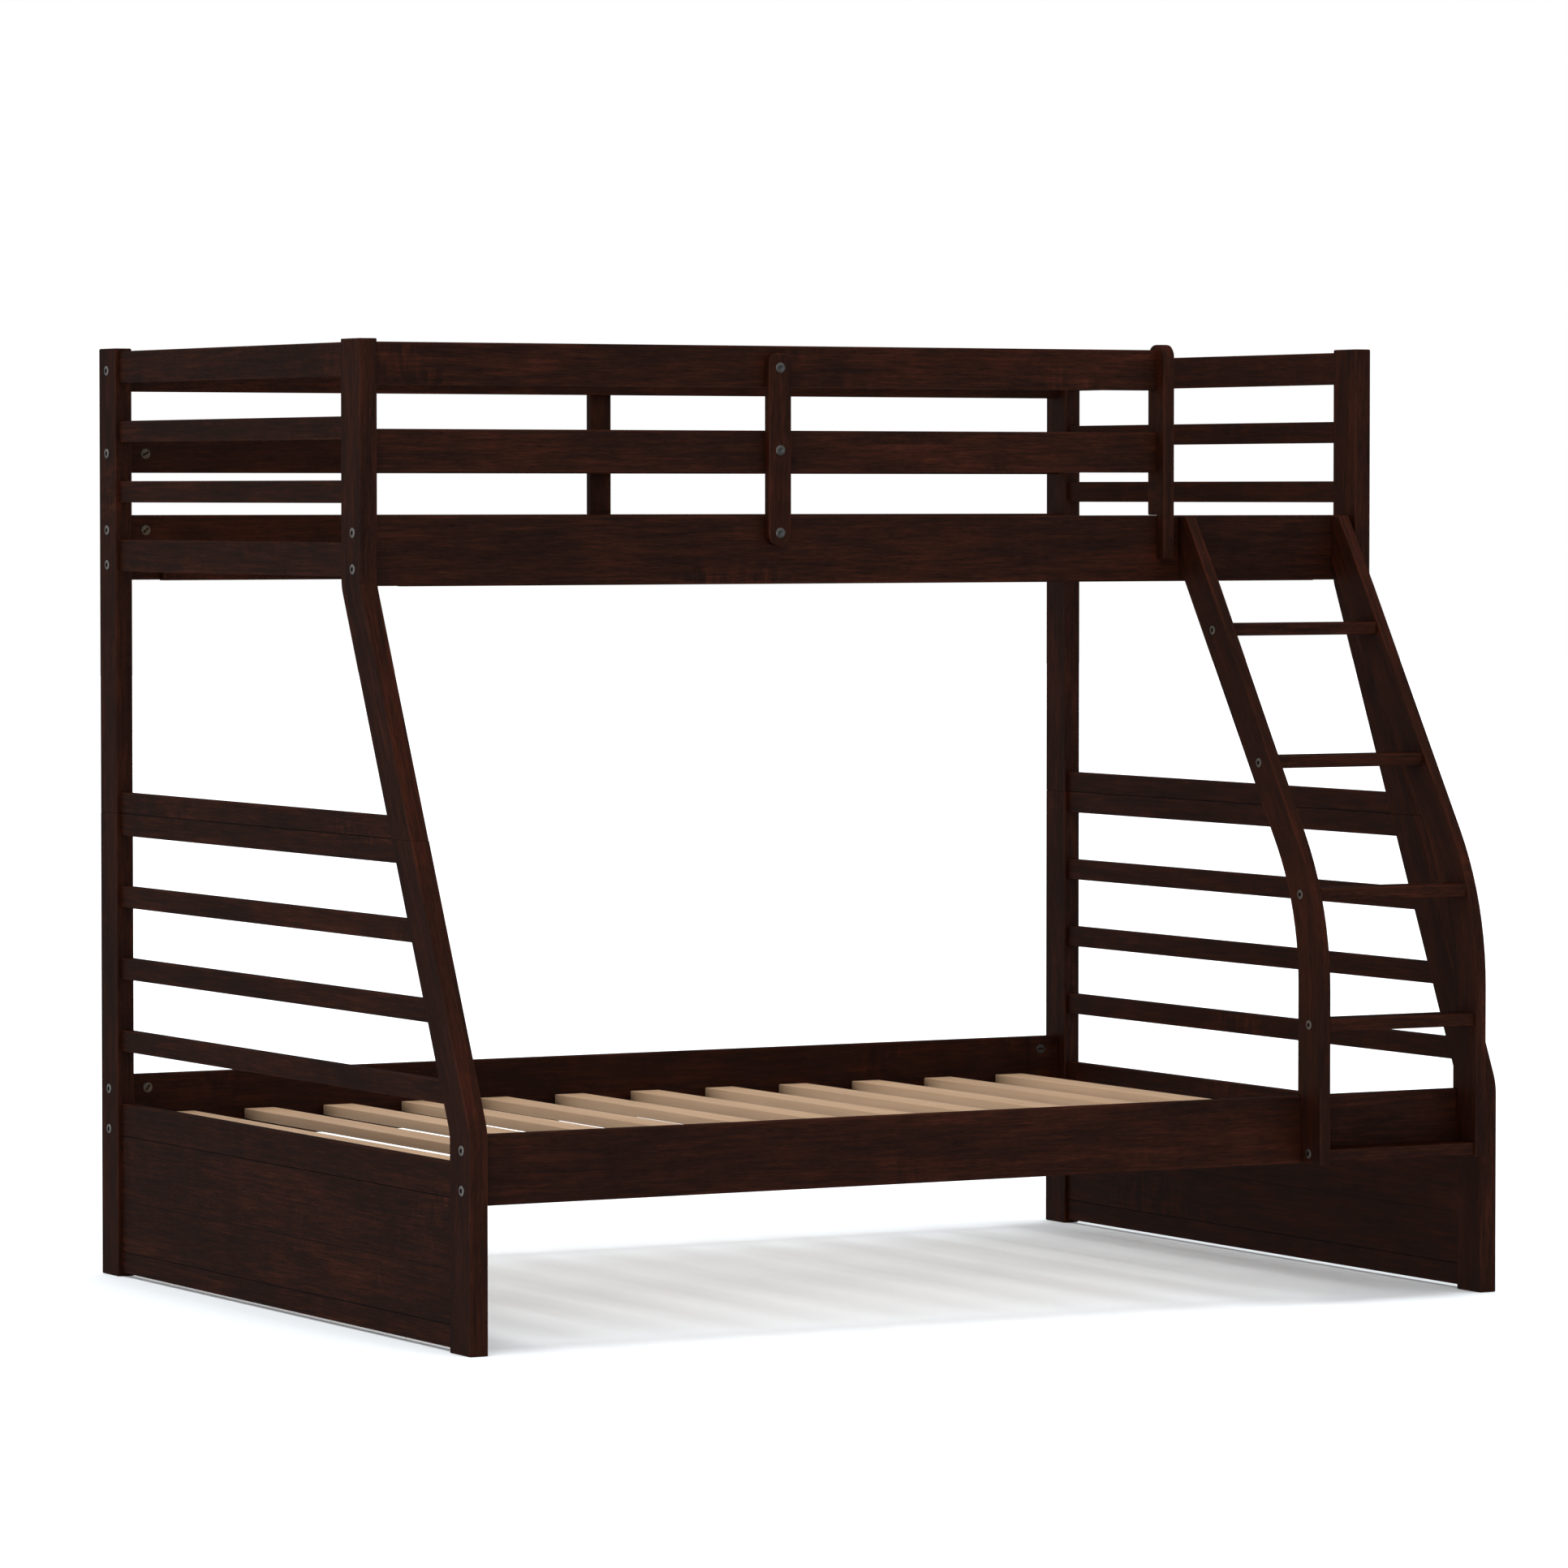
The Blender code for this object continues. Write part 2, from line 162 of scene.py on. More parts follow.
def stained(name, grain, shape=None, lo=None, hi=None, lines=()):
    """Espresso stain on close-grained wood. grain is the axis it runs along; lo and hi are the
    board's bounds (straightened, for a leaning piece), for the paler colour along arrises, partly stain rubbed thin and
    partly a painted highlight;
    lines are (axis, where) hairline glue joints."""
    t = Tree("stain_" + name)
    x, y, z = t.object_xyz()
    if shape == "post":
        out = t.math("SUBTRACT", LEAN_HIGH, t.math("MINIMUM", t.math("MAXIMUM", z, LEAN_LOW), LEAN_HIGH))
        y = t.math("ADD", y, t.math("MULTIPLY", out, LEAN))
    elif shape == "stringer":
        zc = t.math("MINIMUM", t.math("MAXIMUM", z, 0.543), 0.7949)
        dz = t.math("SUBTRACT", zc, 0.543)
        arc = t.math("SQRT", t.math("SUBTRACT", 0.216225, t.math("MULTIPLY", dz, dz)))
        up = t.math("MULTIPLY", t.math("MAXIMUM", t.math("SUBTRACT", z, 0.7949), 0.0), 0.655)
        centre = t.math("SUBTRACT", t.math("ADD", arc, 1.0084), up)
        y = t.math("ADD", y, centre)
    axes = {"X": (x, y, z), "Y": (y, z, x), "Z": (z, x, y)}[grain]
    at = t.vec("ADD", t.combine(*axes), seeded(name))

    cloud = t.noise(at, (2.8, 12.0, 12.0), 3.0, 0.55, 0.4)
    band = t.noise(at, (6.0, 52.0, 52.0), 2.0, 0.6, 0.2)
    line = t.noise(at, (8.0, 130.0, 130.0), 2.0, 0.6)
    streak = t.noise(at, (15.0, 300.0, 300.0), 2.0, 0.6)
    smear = t.noise(at, (26.0, 9.0, 9.0), 2.0, 0.5)
    pore = t.noise(at, (60.0, 1200.0, 1200.0), 2.0, 0.6)
    figure = t.noise(at, (75.0, 17.0, 17.0), 2.0, 0.6)
    patch = t.span(t.noise(at, (4.2, 6.5, 6.5), 1.0, 0.5), 0.62, 0.74)

    tone = t.math("MULTIPLY", cloud, 0.26)
    for n, share in ((band, 0.16), (line, 0.22), (streak, 0.28), (smear, 0.08)):
        tone = t.math("ADD", tone, t.math("MULTIPLY", n, share))
    ripple = t.math("MULTIPLY", t.math("SUBTRACT", figure, 0.47), patch)
    tone = t.math("ADD", tone, t.math("MULTIPLY", ripple, 0.50))
    colour = t.ramp(tone, [(0.415, DARK), (0.50, MID), (0.572, WARM), (0.68, PALE_TONE)])
    fleck = t.span(pore, 0.34, 0.54, 0.70, 1.08)
    colour = t.mix(1.0, colour, t.combine(fleck, fleck, fleck), "MULTIPLY")

    if lo is not None:
        gaps = []
        for v, a, b in zip((x, y, z), lo, hi):
            gaps.append(t.math("MAXIMUM", t.math("MINIMUM", t.math("SUBTRACT", v, a), t.math("SUBTRACT", b, v)), 0.0))
        total = t.math("ADD", t.math("ADD", gaps[0], gaps[1]), gaps[2])
        least = t.math("MINIMUM", t.math("MINIMUM", gaps[0], gaps[1]), gaps[2])
        most = t.math("MAXIMUM", t.math("MAXIMUM", gaps[0], gaps[1]), gaps[2])
        near = t.math("SUBTRACT", t.math("SUBTRACT", total, least), most)
        # Paler along the arrises in a patchy band: partly stain rubbed thin, partly a painted highlight on the rounded
        # edges.
        arris = t.span(near, 0.0002, 0.0042, 1.0, 0.0)
        uneven = t.span(band, 0.40, 0.62, 0.05, 0.45)
        colour = t.mix(t.math("MULTIPLY", arris, uneven), colour, PALE_TONE)
    height = t.math("ADD", t.math("MULTIPLY", streak, 0.7), t.math("MULTIPLY", pore, 0.5))
    for axis, where in lines:
        v = {"X": x, "Y": y, "Z": z}[axis]
        seam = t.span(t.math("ABSOLUTE", t.math("SUBTRACT", v, where)), 0.0004, 0.0014, 1.0, 0.0)
        colour = t.mix(t.math("MULTIPLY", seam, 0.70), colour, (0.0035, 0.0020, 0.0018))
        height = t.math("SUBTRACT", height, t.math("MULTIPLY", seam, 1.4))

    t.put(t.shader.inputs["Base Color"], colour)
    t.put(t.shader.inputs["Roughness"], t.span(t.math("ADD", t.math("MULTIPLY", band, 0.6), t.math("MULTIPLY", pore, 0.4)), 0.3, 0.7, 0.44, 0.58, smooth=False))
    t.shader.inputs["Specular IOR Level"].default_value = 0.10
    t.put(t.shader.inputs["Normal"], t.bump(height, 0.22, 0.0006))
    return t.mat


def pine():
    """Planed, unfinished slat wood: fine straight lines along Y, and a tone of its own for each slat."""
    t = Tree("slat_wood")
    x, y, z = t.object_xyz()
    at = t.combine(y, x, z)
    each = t.noise(t.combine(t.math("MULTIPLY", x, 1.0), 3.7, t.math("MULTIPLY", z, 3.0)), (9.0, 1.0, 1.0), 0.0, 0.5)
    rings = t.noise(at, (1.6, 75.0, 75.0), 3.0, 0.55, 0.25)
    fine = t.noise(at, (9.0, 420.0, 420.0), 3.0, 0.6)
    cloud = t.noise(at, (3.0, 14.0, 14.0), 2.0, 0.5)
    tone = t.math("ADD", t.math("MULTIPLY", rings, 0.55), t.math("MULTIPLY", fine, 0.25))
    tone = t.math("ADD", tone, t.math("MULTIPLY", each, 0.20))
    colour = t.ramp(tone, [
        (0.30, (0.428, 0.270, 0.160)), (0.47, (0.464, 0.305, 0.188)),
        (0.56, (0.482, 0.322, 0.200)), (0.74, (0.506, 0.345, 0.220)),
    ])
    grey = t.span(cloud, 0.35, 0.65, 0.95, 1.03)
    colour = t.mix(1.0, colour, t.combine(grey, grey, grey), "MULTIPLY")
    knots = t.nt.nodes.new("ShaderNodeTexVoronoi")
    knots.inputs["Scale"].default_value = 1.0
    t.put(knots.inputs["Vector"], t.vec("MULTIPLY", at, (2.3, 9.0, 9.0)))
    knot = t.span(knots.outputs["Distance"], 0.03, 0.09, 1.0, 0.0)
    colour = t.mix(t.math("MULTIPLY", knot, 0.55), colour, (0.24, 0.12, 0.055))
    t.put(t.shader.inputs["Base Color"], colour)
    t.put(t.shader.inputs["Roughness"], t.span(fine, 0.3, 0.7, 0.60, 0.74, smooth=False))
    t.shader.inputs["Specular IOR Level"].default_value = 0.25
    t.put(t.shader.inputs["Normal"], t.bump(t.math("ADD", rings, t.math("MULTIPLY", fine, 0.6)), 0.18, 0.0006))
    return t.mat


def steel(name, base, rough):
    """Dull zinc on steel, cloudy, with faint handling marks."""
    t = Tree(name)
    x, y, z = t.object_xyz()
    at = t.combine(x, y, z)
    cloud = t.noise(at, (190.0, 190.0, 190.0), 3.0, 0.6)
    scratch = t.noise(at, (2600.0, 260.0, 2600.0), 2.0, 0.6)
    shade = t.span(cloud, 0.3, 0.7, 0.72, 1.25)
    t.put(t.shader.inputs["Base Color"], t.mix(1.0, base, t.combine(shade, shade, shade), "MULTIPLY"))
    t.shader.inputs["Metallic"].default_value = 1.0
    t.put(t.shader.inputs["Roughness"], t.span(cloud, 0.3, 0.7, rough - 0.08, rough + 0.12, smooth=False))
    t.put(t.shader.inputs["Normal"], t.bump(scratch, 0.10, 0.0001))
    return t.mat


def webbing():
    """Dark woven strap."""
    t = Tree("webbing")
    x, y, z = t.object_xyz()
    warp = t.nt.nodes.new("ShaderNodeTexWave")
    warp.bands_direction = "Y"
    warp.inputs["Scale"].default_value = 250.0
    weft = t.nt.nodes.new("ShaderNodeTexWave")
    weft.bands_direction = "X"
    weft.inputs["Scale"].default_value = 190.0
    co = t.combine(x, y, z)
    t.put(warp.inputs["Vector"], co)
    t.put(weft.inputs["Vector"], co)
    weave = t.math("MULTIPLY", warp.outputs["Fac"], weft.outputs["Fac"])
    t.put(t.shader.inputs["Base Color"], t.ramp(weave, [(0.0, (0.010, 0.009, 0.008)), (1.0, (0.045, 0.040, 0.036))]))
    t.shader.inputs["Roughness"].default_value = 0.85
    t.shader.inputs["Specular IOR Level"].default_value = 0.15
    t.put(t.shader.inputs["Normal"], t.bump(weave, 0.5, 0.0004))
    return t.mat


# ---------------------------------------------------------------- carried-over CAD boards
def corner_key(p):
    return tuple(round(c * 20000) for c in p)


def arrises(node, width, weight, segments=3):
    """Rounds a board's arrises with a bevel modifier. weight(p, q) gives each sharp edge its share."""
    mesh = node.data
    if "custom_normal" in mesh.attributes:
        mesh.attributes.remove(mesh.attributes["custom_normal"])
    bm = bmesh.new()
    bm.from_mesh(mesh)
    bmesh.ops.remove_doubles(bm, verts=bm.verts, dist=0.00002)
    sharp = {}
    for e in bm.edges:
        if len(e.link_faces) == 2 and e.calc_face_angle(0) > math.radians(25):
            p, q = (v.co.copy() for v in e.verts)
            sharp[frozenset((corner_key(p), corner_key(q)))] = weight(p, q)
    bm.free()
    layer = mesh.attributes.get("bevel_weight_edge") or mesh.attributes.new("bevel_weight_edge", "FLOAT", "EDGE")
    co = [v.co for v in mesh.vertices]
    for e in mesh.edges:
        key = frozenset((corner_key(co[e.vertices[0]]), corner_key(co[e.vertices[1]])))
        layer.data[e.index].value = sharp.get(key, 0.0)
    for name in ("sharp_face", "sharp_edge"):
        if name in mesh.attributes:
            mesh.attributes.remove(mesh.attributes[name])
    weld = node.modifiers.new("weld", "WELD")
    weld.merge_threshold = 0.00002
    flat = node.modifiers.new("flat", "DECIMATE")
    flat.decimate_type = "DISSOLVE"
    flat.angle_limit = math.radians(0.4)
    bevel = node.modifiers.new("arris", "BEVEL")
    bevel.limit_method = "WEIGHT"
    bevel.width = width
    bevel.segments = segments
    bevel.harden_normals = True
    bevel.use_clamp_overlap = True


def by_ends(axis, lo, hi, start=0.15, end=0.15, side=1.0):
    """Edge shares for a board along an axis: its two end outlines, and its long arrises."""
    k = "XYZ".index(axis)

    def weight(p, q):
        if abs(p[k] - lo) < 0.001 and abs(q[k] - lo) < 0.001:
            return start
        if abs(p[k] - hi) < 0.001 and abs(q[k] - hi) < 0.001:
            return end
        return side

    return weight


def by_front_post(rear, side=1.0, butt=0.15):
    """Edge shares for an end rail: the rear end is square, the front end follows the leaning post."""

    def weight(p, q):
        if abs(p[1] - rear) < 0.001 and abs(q[1] - rear) < 0.001:
            return butt
        if p[1] < 0.3 and q[1] < 0.3:
            return butt
        return side

    return weight


def finish_boards():
    for name, node in NODES.items():
        lo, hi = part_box(name)
        far = 1.0
        if name.endswith("seam_pin") or name.endswith("slat_roll"):
            continue
        if "post" in name:
            straight_lo, straight_hi = list(lo), list(hi)
            shape = None
            if "front" in name:
                shape = "post"
                straight_lo[1], straight_hi[1] = DEPTH / 2 - 1.0645, DEPTH / 2 - 0.9925
            if "upper" in name:
                straight_lo[2] -= far
                share = by_ends("Z", lo.z, hi.z, 0.30, 1.0)
            else:
                straight_hi[2] += far
                share = by_ends("Z", lo.z, hi.z, 0.8, 0.30)
            node.data.materials[0] = stained(name, "Z", shape, straight_lo, straight_hi)
            arrises(node, 0.0026, share)
        elif "stringer" in name:
            node.data.materials[0] = stained(
                name, "Z", "stringer", (lo.x, DEPTH / 2 - 0.0375, lo.z), (hi.x, DEPTH / 2 + 0.0375, hi.z)
            )
            arrises(node, 0.0022, lambda p, q: 1.0)
        elif "picket" in name or name == "guard_end_board":
            node.data.materials[0] = stained(name, "Z", None, lo, hi)
            arrises(node, 0.0026, lambda p, q: 1.0)
        elif "tread" in name:
            node.data.materials[0] = stained(name, "X", None, (lo.x - far, lo.y, lo.z), (hi.x + far, hi.y, hi.z))
            arrises(node, 0.0024, by_ends("X", lo.x, hi.x))
        elif "side_rail" in name or "guard_rail" in name:
            lines = (("X", 0.9020),) if name == "rear_lower_side_rail" else ()
            node.data.materials[0] = stained(name, "X", None, (lo.x - far, lo.y, lo.z), (hi.x + far, hi.y, hi.z), lines)
            arrises(node, 0.0020, by_ends("X", lo.x, hi.x))
        elif "cleat" in name:
            node.data.materials[0] = stained(name, "X", None, lo, hi)
            arrises(node, 0.0012, lambda p, q: 1.0)
        else:  # rails, slats and panels of the end frames
            lines, down, up = [], 0.0, 0.0
            if "foot_panel" in name:
                lines, down, up = [("Z", 0.1340), ("Z", lo.z), ("Z", hi.z)], far, far
            elif "foot_trim" in name or "lower_seam" in name:
                lines, up = [("Z", hi.z)], far
            elif name.endswith("lower_rail") or "upper_seam" in name:
                lines, down = [("Z", lo.z)], far
            node.data.materials[0] = stained(
                name, "Y", None, (lo.x, lo.y - far, lo.z - down), (hi.x, hi.y + far, hi.z + up), lines
            )
            width = 0.0016
            share = by_front_post(hi.y)
            if "panel" in name:
                share = by_front_post(hi.y, 0.3)
            elif "trim" in name or name.endswith("lower_rail"):
                inner = lo.z if name.endswith("lower_rail") else hi.z
                plain = share

                def share(p, q, inner=inner, plain=plain):
                    met = abs(p[2] - inner) < 0.001 and abs(q[2] - inner) < 0.001
                    return 0.3 if met else plain(p, q)

            elif "seam" in name:
                inner = lo.z if "upper" in name else hi.z
                plain = share

                def share(p, q, inner=inner, plain=plain):
                    met = abs(p[2] - inner) < 0.001 and abs(q[2] - inner) < 0.001
                    return 0.35 if met else plain(p, q)

            arrises(node, width, share)
    metal = steel("seam_pin_steel", (0.30, 0.295, 0.285), 0.35)
    for name, node in NODES.items():
        if name.endswith("seam_pin"):
            node.data.materials[0] = metal


# ---------------------------------------------------------------- slats and webbing
def box_into(bm, lo, hi, round_by=0.0, segments=2):
    made = bmesh.ops.create_cube(bm, size=1.0)
    verts = made["verts"]
    bmesh.ops.scale(bm, vec=[b - a for a, b in zip(lo, hi)], verts=verts)
    bmesh.ops.translate(bm, vec=[(a + b) / 2 for a, b in zip(lo, hi)], verts=verts)
    if round_by:
        edges = list({e for v in verts for e in v.link_edges})
        bmesh.ops.bevel(bm, geom=edges, offset=round_by, segments=segments, affect="EDGES", profile=0.5)


def new_piece(name, bm, mat, body="root", smooth=30):
    bmesh.ops.recalc_face_normals(bm, faces=bm.faces)
    mesh = bpy.data.meshes.new(name)
    bm.to_mesh(mesh)
    bm.free()
    obj = bpy.data.objects.new(name, mesh)
    scene.collection.objects.link(obj)
    mesh.materials.append(mat)
    mesh.shade_smooth()
    mesh.set_sharp_from_angle(angle=math.radians(smooth))
    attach(obj, body)
    return obj


SLATS, SLAT_WIDE, SLAT_THICK = 12, 0.059, 0.018
SLAT_FIRST, SLAT_LAST = -0.8985, 0.8280
STRAP_IN, STRAP_WIDE, STRAP_THICK = 0.003, 0.014, 0.0012


def make_slats():
    wood, strap_mat = pine(), webbing()
    wire = steel("staple_wire", (0.34, 0.335, 0.325), 0.30)
    pitch = (SLAT_LAST - SLAT_FIRST) / (SLATS - 1)
    for level in ("upper", "lower"):
        node = f"{level}_slat_roll"
        lo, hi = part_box(node)
        top = hi.z
        bottom = top - SLAT_THICK
        first = None
        for i in range(SLATS):
            x = SLAT_FIRST + i * pitch
            bm = bmesh.new()
            box_into(bm, (x, lo.y, bottom), (x + SLAT_WIDE, hi.y, top), 0.0014, 2)
            piece = new_piece(f"{level}_slat_{i + 1:02d}", bm, wood)
            first = first or piece
        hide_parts(node)
        for tag, y in (("front", lo.y + STRAP_IN), ("rear", hi.y - STRAP_IN - STRAP_WIDE)):
            bm = bmesh.new()
            box_into(
                bm, (SLAT_FIRST + 0.006, y, bottom - STRAP_THICK), (SLAT_LAST + SLAT_WIDE - 0.006, y + STRAP_WIDE, bottom - 0.00005),
                0.0003, 1,
            )
            new_piece(f"{level}_{tag}_webbing", bm, strap_mat)
            bm = bmesh.new()
            for i in range(SLATS):
                mid = SLAT_FIRST + i * pitch + SLAT_WIDE / 2
                for dx in (-0.014, 0.014):
                    box_into(
                        bm, (mid + dx - 0.0006, y + 0.002, bottom - STRAP_THICK - 0.00018),
                        (mid + dx + 0.0006, y + STRAP_WIDE - 0.002, bottom - STRAP_THICK + 0.0004), 0.0002, 1,
                    )
            new_piece(f"{level}_{tag}_staples", bm, wire)


# ---------------------------------------------------------------- fasteners
def head_mesh(name, radius, high, recess, deep, dome=0.0, sides=48):
    """A round flanged head with a shaped recess. recess(angle) gives the recess outline's radius."""
    angles = [2 * math.pi * i / sides for i in range(sides)]
    bm = bmesh.new()

    def ring(r, z):
        out = []
        for a in angles:
            d = r(a) if callable(r) else r
            out.append(bm.verts.new((d * math.cos(a), d * math.sin(a), z)))
        return out

    rings = [
        ring(radius, -0.0002),
        ring(radius, high * 0.42),
        ring(radius * 0.985, high * 0.66),
        ring(radius * 0.945, high * 0.84),
        ring(radius * 0.88, high * 0.95),
        ring(radius * 0.72, high),
        ring(lambda a: recess(a) + 0.0009, high + dome),
        ring(lambda a: recess(a) + 0.0003, high + dome - 0.0001),
        ring(recess, high + dome - 0.0004),
        ring(lambda a: recess(a) * 0.97, high + dome - deep),
        ring(lambda a: recess(a) * 0.50, high + dome - deep - 0.0002),
    ]
    # The recess walls and floor take the second material slot, which is painted shade: a darker steel standing in for
    # the shade that falls inside the recess.
    for k, (a, b) in enumerate(zip(rings, rings[1:])):
        for i in range(sides):
            j = (i + 1) % sides
            bm.faces.new((a[i], a[j], b[j], b[i])).material_index = 1 if k > 6 else 0
    bm.faces.new(rings[-1]).material_index = 1
    bm.faces.new(rings[0][::-1])
    bmesh.ops.recalc_face_normals(bm, faces=bm.faces)
    mesh = bpy.data.meshes.new(name)
    bm.to_mesh(mesh)
    bm.free()
    mesh.shade_smooth()
    mesh.set_sharp_from_angle(angle=math.radians(34))
    return mesh


def hexagon(flats):
    def r(a):
        k = (a + math.pi / 6) % (math.pi / 3) - math.pi / 6
        return flats / 2 / math.cos(k)

    return r


def slot_shape(long, wide):
    def r(a):
        c, s = abs(math.cos(a)), abs(math.sin(a))
        return min(long / 2 / max(c, 1e-6), wide / 2 / max(s, 1e-6))

    return r


def place_head(name, mesh, at, normal, turn):
    obj = bpy.data.objects.new(name, mesh)
    scene.collection.objects.link(obj)
    aim = Vector(normal).to_track_quat("Z", "Y").to_matrix().to_4x4()
    obj.matrix_world = Matrix.Translation(at) @ aim @ Matrix.Rotation(turn, 4, "Z")
    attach(obj, "root")
    return obj


def make_fasteners():
    zinc = steel("bolt_zinc", (0.47, 0.455, 0.44), 0.42)
    screw_mat = steel("screw_zinc", (0.66, 0.65, 0.64), 0.42)
    tread_mat = steel("tread_zinc", (0.30, 0.29, 0.275), 0.46)
    nut_mat = steel("nut_zinc", (0.31, 0.315, 0.30), 0.48)
    # Painted shade: the two recess materials are darker steel standing in for the shade inside the hex sockets and nut
    # slots. They are near-black for the bolts and nuts, and a dimmer grey than the head for the picket bolts.
    socket_shade = steel("painted_shade_in_recess", (0.075, 0.072, 0.068), 0.60)
    dim = steel("screw_recess_painted_shade", (0.46, 0.47, 0.48), 0.55)
    bolt = head_mesh("bolt_head", 0.0089, 0.0019, hexagon(0.0072), 0.0030)
    tread_bolt = head_mesh("tread_bolt_head", 0.0083, 0.0018, hexagon(0.0066), 0.0028)
    screw = head_mesh("picket_bolt_head", 0.0089, 0.0018, hexagon(0.0070), 0.0014)
    nut = head_mesh("barrel_nut_face", 0.0090, 0.0010, slot_shape(0.0120, 0.0032), 0.0016)
    for m, mat, inside in ((bolt, zinc, socket_shade), (tread_bolt, tread_mat, socket_shade), (screw, screw_mat, dim), (nut, nut_mat, socket_shade)):
        m.materials.append(mat)
        m.materials.append(inside)

    def y(d):
        return DEPTH / 2 - d

    def turn(name):
        return math.radians(zlib.crc32(name.encode()) % 60)

    rails = (
        ("guard_top", "rear", 0.0345, (1.6090,)), ("guard_middle", "rear", 0.0345, (1.4623,)),
        ("upper_rail", "rear", 0.0345, (1.3265, 1.2648)), ("lower_rail", "rear", 0.0345, (0.3325, 0.2608)),
        ("upper_rail", "front", 1.0375, (1.3263, 1.2659)), ("lower_rail", "front", 1.4372, (0.3315, 0.2665)),
    )
    for side, sx in (("left", -1), ("right", 1)):
        for what, where, d, heights in rails:
            for k, z in enumerate(heights, 1):
                name = f"bolt_{side}_{where}_{what}_{k}"
                place_head(name, bolt, (sx * LENGTH_HALF, y(d), z), (sx, 0, 0), turn(name))
                inner = -1 if where == "rear" else 1
                face = y(d) + inner * 0.0100
                name = f"barrel_nut_{side}_{where}_{what}_{k}"
                place_head(name, nut, (sx * 0.9300, face, z), (0, inner, 0), turn(name))
    lo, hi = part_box("front_guard_picket")
    for k, z in enumerate((1.6057, 1.4650, 1.3243), 1):
        name = f"bolt_front_picket_{k}"
        place_head(name, screw, ((lo.x + hi.x) / 2, lo.y, z), (0, -1, 0), turn(name))
    lo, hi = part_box("rear_guard_picket")
    for k, z in enumerate((1.6057, 1.4650, 1.3243), 1):
        name = f"bolt_rear_picket_{k}"
        place_head(name, screw, ((lo.x + hi.x) / 2, hi.y, z), (0, 1, 0), turn(name))
    left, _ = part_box("ladder_left_stringer")
    _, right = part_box("ladder_right_stringer")
    for k, (d, z) in enumerate(((1.1630, 1.1530), (1.3130, 0.9258), (1.4455, 0.7035), (1.4739, 0.4807), (1.4730, 0.2593)), 1):
        for side, x, n in (("left", left.x, -1), ("right", right.x, 1)):
            name = f"bolt_{side}_tread_{k}"
            place_head(name, tread_bolt, (x, y(d), z), (n, 0, 0), turn(name))


LENGTH_HALF = 1.0


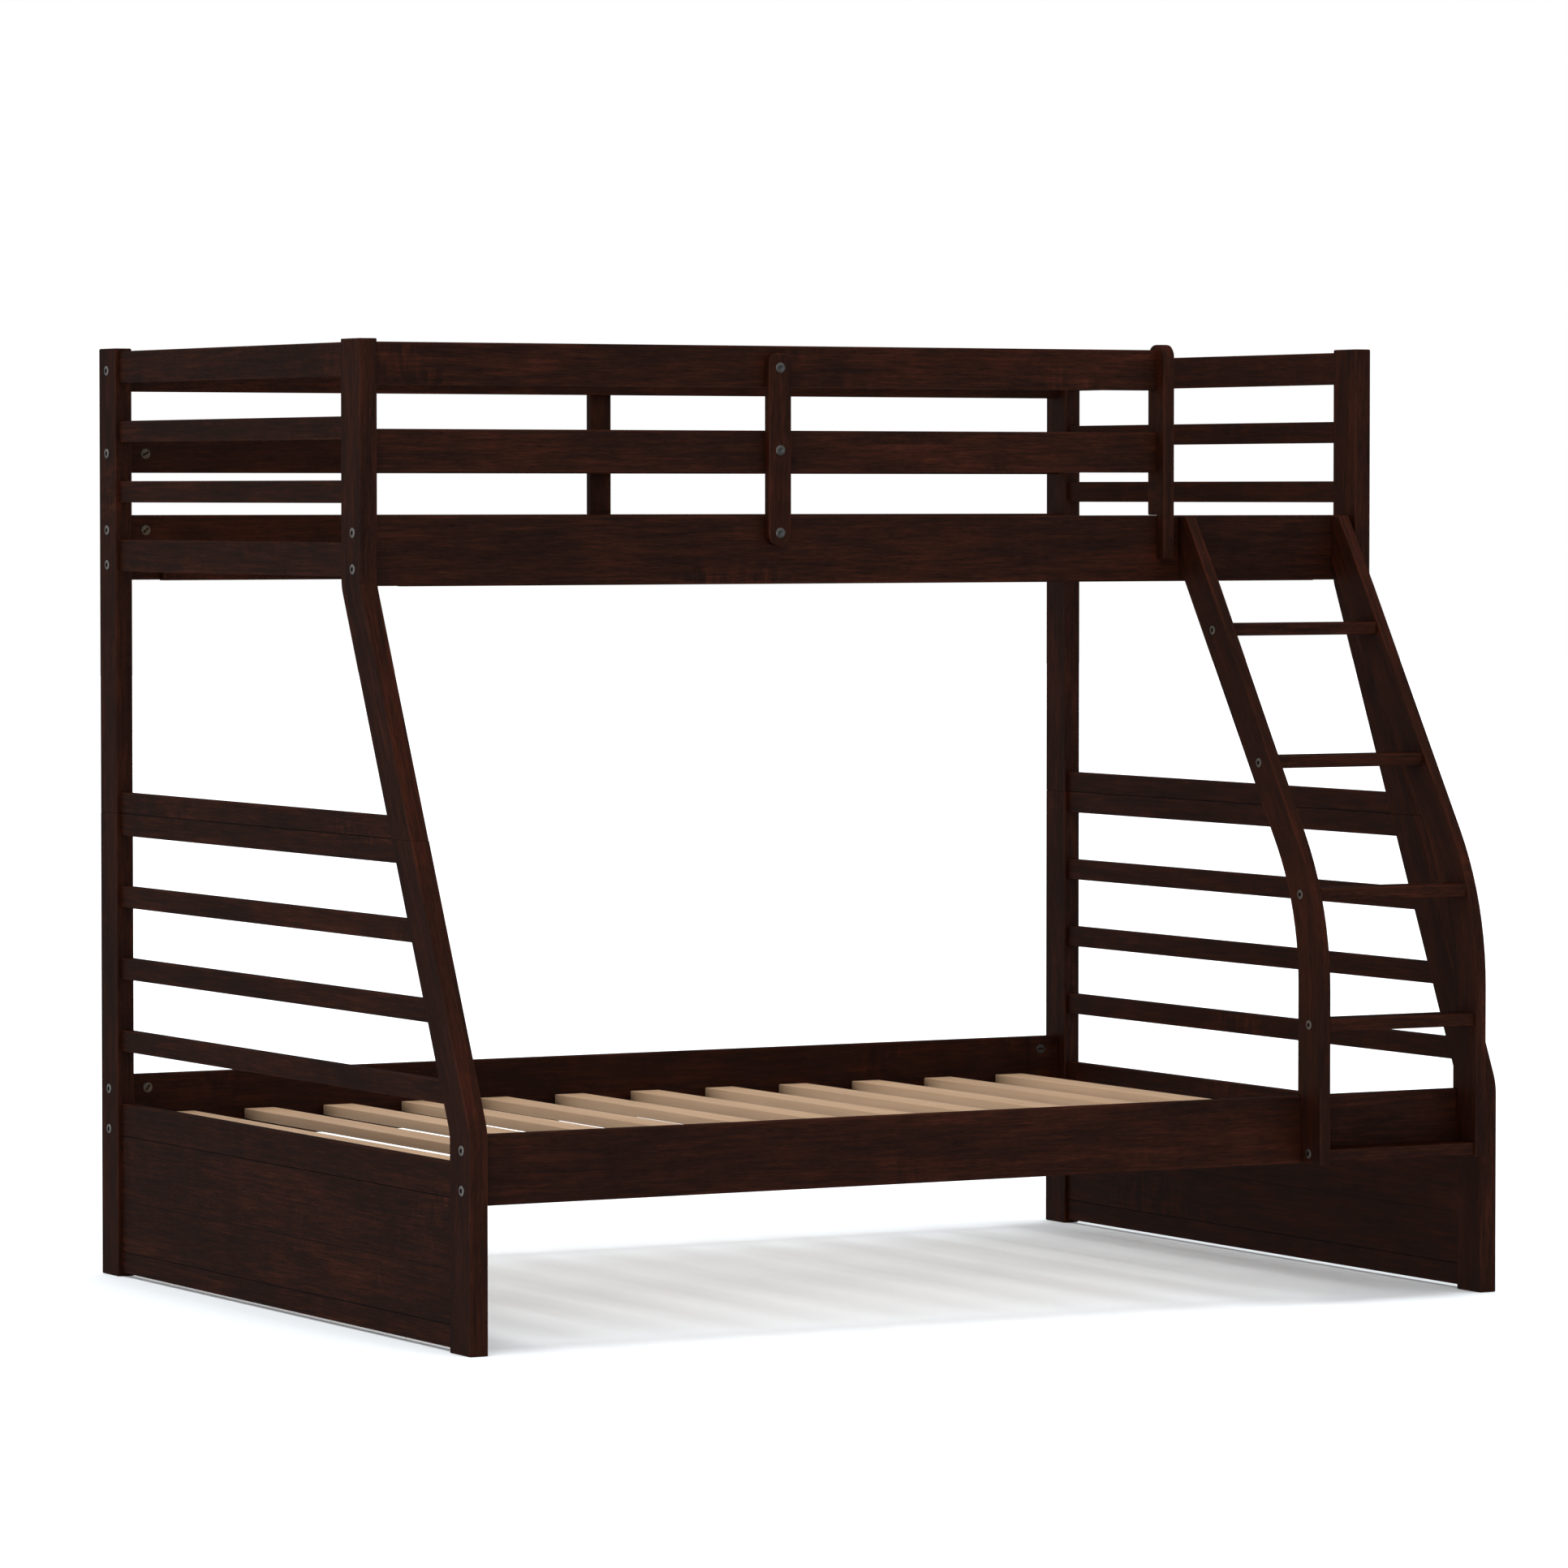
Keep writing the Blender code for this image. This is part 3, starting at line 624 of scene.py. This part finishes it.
# ---------------------------------------------------------------- studio
def studio():
    bm = bmesh.new()
    bmesh.ops.create_grid(bm, x_segments=1, y_segments=1, size=40.0)
    mesh = bpy.data.meshes.new("studio_floor")
    bm.to_mesh(mesh)
    bm.free()
    floor = bpy.data.objects.new("studio_floor", mesh)
    scene.collection.objects.link(floor)
    floor.location = (0, 0, -0.0004)
    t = Tree("floor_paint")
    t.shader.inputs["Base Color"].default_value = (0.820, 0.855, 0.885, 1)
    t.shader.inputs["Roughness"].default_value = 0.9
    t.shader.inputs["Specular IOR Level"].default_value = 0.0
    mesh.materials.append(t.mat)
    floor.visible_glossy = False

    world = bpy.data.worlds.new("studio_world")
    scene.world = world
    world.use_nodes = True
    world.cycles.sampling_method = "NONE"
    nt = world.node_tree
    nt.nodes.clear()
    out = nt.nodes.new("ShaderNodeOutputWorld")
    lit = nt.nodes.new("ShaderNodeBackground")
    lit.inputs["Color"].default_value = (1, 1, 1, 1)
    lit.inputs["Strength"].default_value = 1.22
    glossy = nt.nodes.new("ShaderNodeBackground")
    glossy.inputs["Color"].default_value = (1, 1, 1, 1)
    where = nt.nodes.new("ShaderNodeSeparateXYZ")
    nt.links.new(nt.nodes.new("ShaderNodeTexCoord").outputs["Generated"], where.inputs[0])

    def share(socket, gain, base):
        up = nt.nodes.new("ShaderNodeMath")
        up.operation = "MAXIMUM"
        nt.links.new(socket, up.inputs[0])
        up.inputs[1].default_value = 0.0
        n = nt.nodes.new("ShaderNodeMath")
        n.operation = "MULTIPLY_ADD"
        nt.links.new(up.outputs[0], n.inputs[0])
        n.inputs[1].default_value = gain
        if isinstance(base, float):
            n.inputs[2].default_value = base
        else:
            nt.links.new(base, n.inputs[2])
        return n.outputs[0]

    left = nt.nodes.new("ShaderNodeMath")
    left.operation = "MULTIPLY"
    nt.links.new(where.outputs[0], left.inputs[0])
    left.inputs[1].default_value = -1.0
    nt.links.new(share(left.outputs[0], 0.34, share(where.outputs[2], 0.16, 0.05)), glossy.inputs["Strength"])
    seen = nt.nodes.new("ShaderNodeBackground")
    seen.inputs["Color"].default_value = (1, 1, 1, 1)
    seen.inputs["Strength"].default_value = 1.0
    path = nt.nodes.new("ShaderNodeLightPath")
    pick = nt.nodes.new("ShaderNodeMixShader")
    dim = nt.nodes.new("ShaderNodeMixShader")
    nt.links.new(path.outputs["Is Glossy Ray"], dim.inputs[0])
    nt.links.new(lit.outputs[0], dim.inputs[1])
    nt.links.new(glossy.outputs[0], dim.inputs[2])
    nt.links.new(path.outputs["Is Camera Ray"], pick.inputs[0])
    nt.links.new(dim.outputs[0], pick.inputs[1])
    nt.links.new(seen.outputs[0], pick.inputs[2])
    nt.links.new(pick.outputs[0], out.inputs["Surface"])

    key = bpy.data.lights.new("key", "SUN")
    key.energy = 2.0
    key.angle = math.radians(34)
    obj = bpy.data.objects.new("key", key)
    scene.collection.objects.link(obj)
    obj.rotation_mode = "QUATERNION"
    obj.rotation_quaternion = Vector((0.01, 0.02, -1.0)).to_track_quat("-Z", "Y")
    obj.visible_glossy = False
    scene.view_settings.view_transform = "Standard"
    scene.view_settings.look = "None"
    scene.view_settings.exposure = 0.0
    scene.view_settings.gamma = 1.0


def camera():
    data = bpy.data.cameras.new("camera")
    data.sensor_fit = "HORIZONTAL"
    data.sensor_width = 36.0
    data.lens = 9004.88 * 36.0 / 1932.0
    data.clip_start, data.clip_end = 0.1, 200.0
    obj = bpy.data.objects.new("camera", data)
    scene.collection.objects.link(obj)
    obj.location = (-6.26116, -11.21442, 1.39236)
    obj.rotation_euler = (math.radians(87.72016), 0.0, math.radians(-29.07684))
    scene.camera = obj


camera()
studio()
finish_boards()
make_slats()
make_fasteners()
